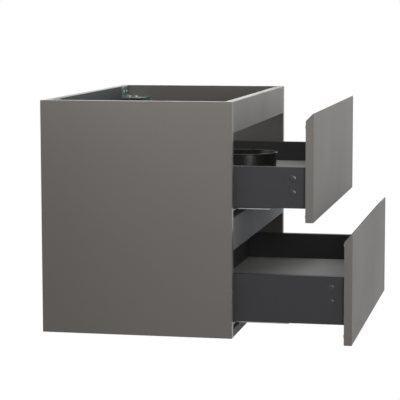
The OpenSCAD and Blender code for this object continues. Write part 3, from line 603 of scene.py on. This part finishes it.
clip_middle = panel_face - 0.060
screws_behind_front = (0.012, 0.042)
head_radius, head_height = 3.2 * millimetre, 1.7 * millimetre
plate_above_side = 2 * millimetre
for drawer in drawers:
    clips_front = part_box(drawer + "_clips")[0][1]
    plate_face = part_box(drawer + "_side_left")[0][2] + plate_above_side
    heads = bmesh.new()
    for x in (-clip_middle, clip_middle):
        for back in screws_behind_front:
            screw_head(heads, (x, clips_front + back, plate_face), head_radius, head_height)
    new_piece(drawer + "_clip_screws", heads, bright_zinc, drawer + "_drawer")

# ---- Bumper pads ----
# Small domes of soft translucent plastic, stuck to the corners of a front's back, which meet
# the carcass without a sound when the drawer closes.

pad_plastic = moulded("bumper_pad", (0.55, 0.56, 0.55, 1), roughness=0.35,
                      grain_size=1 * millimetre, depth=0.02 * millimetre)
for drawer in drawers:
    dress(drawer + "_bumpers", pad_plastic)

# ---- Siphon liner ----
# A thermoformed wall of glossy dark plastic in the cut-out of the upper drawer, with a foot on
# the drawer bottom and a rolled rim, so that nothing falls against the basin's siphon.

liner_gloss = moulded("liner_gloss", (0.010, 0.0095, 0.009, 1), roughness=0.3,
                      grain_size=4 * millimetre, depth=0.05 * millimetre)
liner_edge, liner_segments = 0.8 * millimetre, 3
dress("siphon_liner", liner_gloss)
ease_edges(nodes["siphon_liner"], liner_edge, liner_segments)

# ---- Floor and backdrop ----
# A plain pale floor under the hanging vanity, and a plain white backdrop. Seen straight or in
# a reflection they are white, apart from the object's shadow on the floor.

floor_middle = (0, -0.35, -0.42)
floor_radius, floor_segments = 6.0, 96
disc = bmesh.new()
bmesh.ops.create_circle(disc, cap_ends=True, cap_tris=True, segments=floor_segments,
                        radius=floor_radius)
floor_mesh = bpy.data.meshes.new("floor")
disc.to_mesh(floor_mesh)
disc.free()
floor = bpy.data.objects.new("floor", floor_mesh)
floor.location = floor_middle
bpy.context.scene.collection.objects.link(floor)


def seen_rays(tree):
    """1 for the camera's rays, and for those that gloss or clear plastic send on."""
    ray = add(tree, "LightPath").outputs
    return calc(tree, "MAXIMUM", ray["Is Camera Ray"],
                calc(tree, "MAXIMUM", ray["Is Glossy Ray"], ray["Is Transmission Ray"]))


pale_tones = (0.93, 0.93, 0.93, 1), (0.95, 0.95, 0.95, 1)
shadow_range, white_range = (0.25, 0.75), (0.6, 1.0)
finish, tree, skin, place = new_finish("pale_floor", Roughness=0.9, Specular_IOR_Level=0.0)
plaster = grains(tree, place, 50 * millimetre, detail=3.0)
tree.links.new(blend(tree, plaster, *pale_tones), skin.inputs["Base Color"])
seen = seen_rays(tree)
from_object = add(tree, "VectorMath", {"operation": "LENGTH"}, _0=place).outputs["Value"]
fade = spread_over(tree, from_object, *shadow_range, *white_range)
white = add(tree, "Emission", None, Color=(1, 1, 1, 1), Strength=1.0)
surface = add(tree, "MixShader", None, _0=calc(tree, "MULTIPLY", seen, fade),
              _1=skin.outputs[0], _2=white.outputs[0])
tree.links.new(surface.outputs[0], tree.nodes["Material Output"].inputs["Surface"])
floor_mesh.materials.append(finish)

sky_light = 0.22
world = bpy.data.worlds.new("studio")
bpy.context.scene.world = world
world.use_nodes = True
tree = world.node_tree
seen = seen_rays(tree)
soft = add(tree, "Background", None, Color=(0.96, 0.98, 1.0, 1), Strength=sky_light)
plain = add(tree, "Background", None, Color=(1, 1, 1, 1), Strength=1.0)
surface = add(tree, "MixShader", None, _0=seen, _1=soft.outputs[0], _2=plain.outputs[0])
tree.links.new(surface.outputs[0], tree.nodes["World Output"].inputs["Surface"])

# ---- Lamps ----
# Nine square softboxes: four at the left for the side panel and its edges, two in front for
# the fronts, and three at the right and behind for the inside of the carcass and the back.

# each lamp's place, the point it is aimed at, its width in metres, its power in watts, its tone
lamps = {
    "side_lamp": ((-1.05, -0.66, 0.70), (-0.375, -0.30, 0.35), 0.5, 1.68, (1.0, 0.97, 0.94)),
    "edge_lamp": ((-0.58, -0.10, 0.90), (-0.375, -0.10, 0.45), 0.22, 0.95, (1.0, 0.98, 0.95)),
    "corner_lamp": ((-0.70, -0.38, 0.95), (-0.375, -0.30, 0.50), 0.25, 0.8, (1.0, 0.98, 0.95)),
    "strip_lamp": ((-1.73, -1.12, 0.58), (-0.07, -0.43, 0.38), 0.30, 6.5, (1.0, 0.98, 0.97)),
    "front_lamp": ((0.6, -2.6, 0.7), (0.0, -0.5, 0.3), 1.2, 11.5, (0.97, 1.0, 1.0)),
    "high_front_lamp": ((0.2, -1.5, 1.6), (0.0, -0.6, 0.4), 0.8, 9.6, (0.97, 1.0, 1.0)),
    "right_lamp": ((2.4, -0.9, 0.9), (0.375, -0.3, 0.3), 0.8, 6.0, (1.0, 1.0, 1.0)),
    "rim_lamp": ((3.4, 0.55, 1.05), (0.0, -0.3, 0.5), 0.9, 1.7, (1.0, 1.0, 1.0)),
    "back_lamp": ((2.6, 1.6, 1.8), (0.0, -0.3, 0.2), 1.6, 12.0, (1.0, 1.0, 1.0)),
}
for name, (spot, aim, width, power, tone) in lamps.items():
    light = bpy.data.lights.new(name, "AREA")
    light.shape = "SQUARE"
    light.size = width
    light.energy = power
    light.color = tone
    lamp = bpy.data.objects.new(name, light)
    lamp.location = spot
    lamp.rotation_euler = (Vector(aim) - Vector(spot)).to_track_quat("-Z", "Y").to_euler()
    bpy.context.scene.collection.objects.link(lamp)

# ---- Camera ----
# It stands where the photograph's stood: at the left, a little in front and a little above,
# a bit over four metres away. The focal length is the photograph's, in its own pixels.

sensor_width = 36.0
frame_pixels, focal_pixels = 400, 1690.0
eye = Vector((-4.0326, -1.1254, 0.7430))
ahead = Vector((0.97275, 0.20146, -0.11480))
right_hand = Vector((0.20258, -0.97926, -0.00185))
upward = right_hand.cross(ahead)
camera_data = bpy.data.cameras.new("camera")
camera_data.sensor_fit = "HORIZONTAL"
camera_data.sensor_width = sensor_width
camera_data.lens = focal_pixels / frame_pixels * sensor_width
camera = bpy.data.objects.new("camera", camera_data)
turn = Matrix((right_hand, upward, -ahead)).transposed().to_4x4()
camera.matrix_world = Matrix.Translation(eye) @ turn
bpy.context.scene.collection.objects.link(camera)
bpy.context.scene.camera = camera
bpy.context.scene.view_settings.view_transform = "Standard"

bpy.context.view_layer.update()
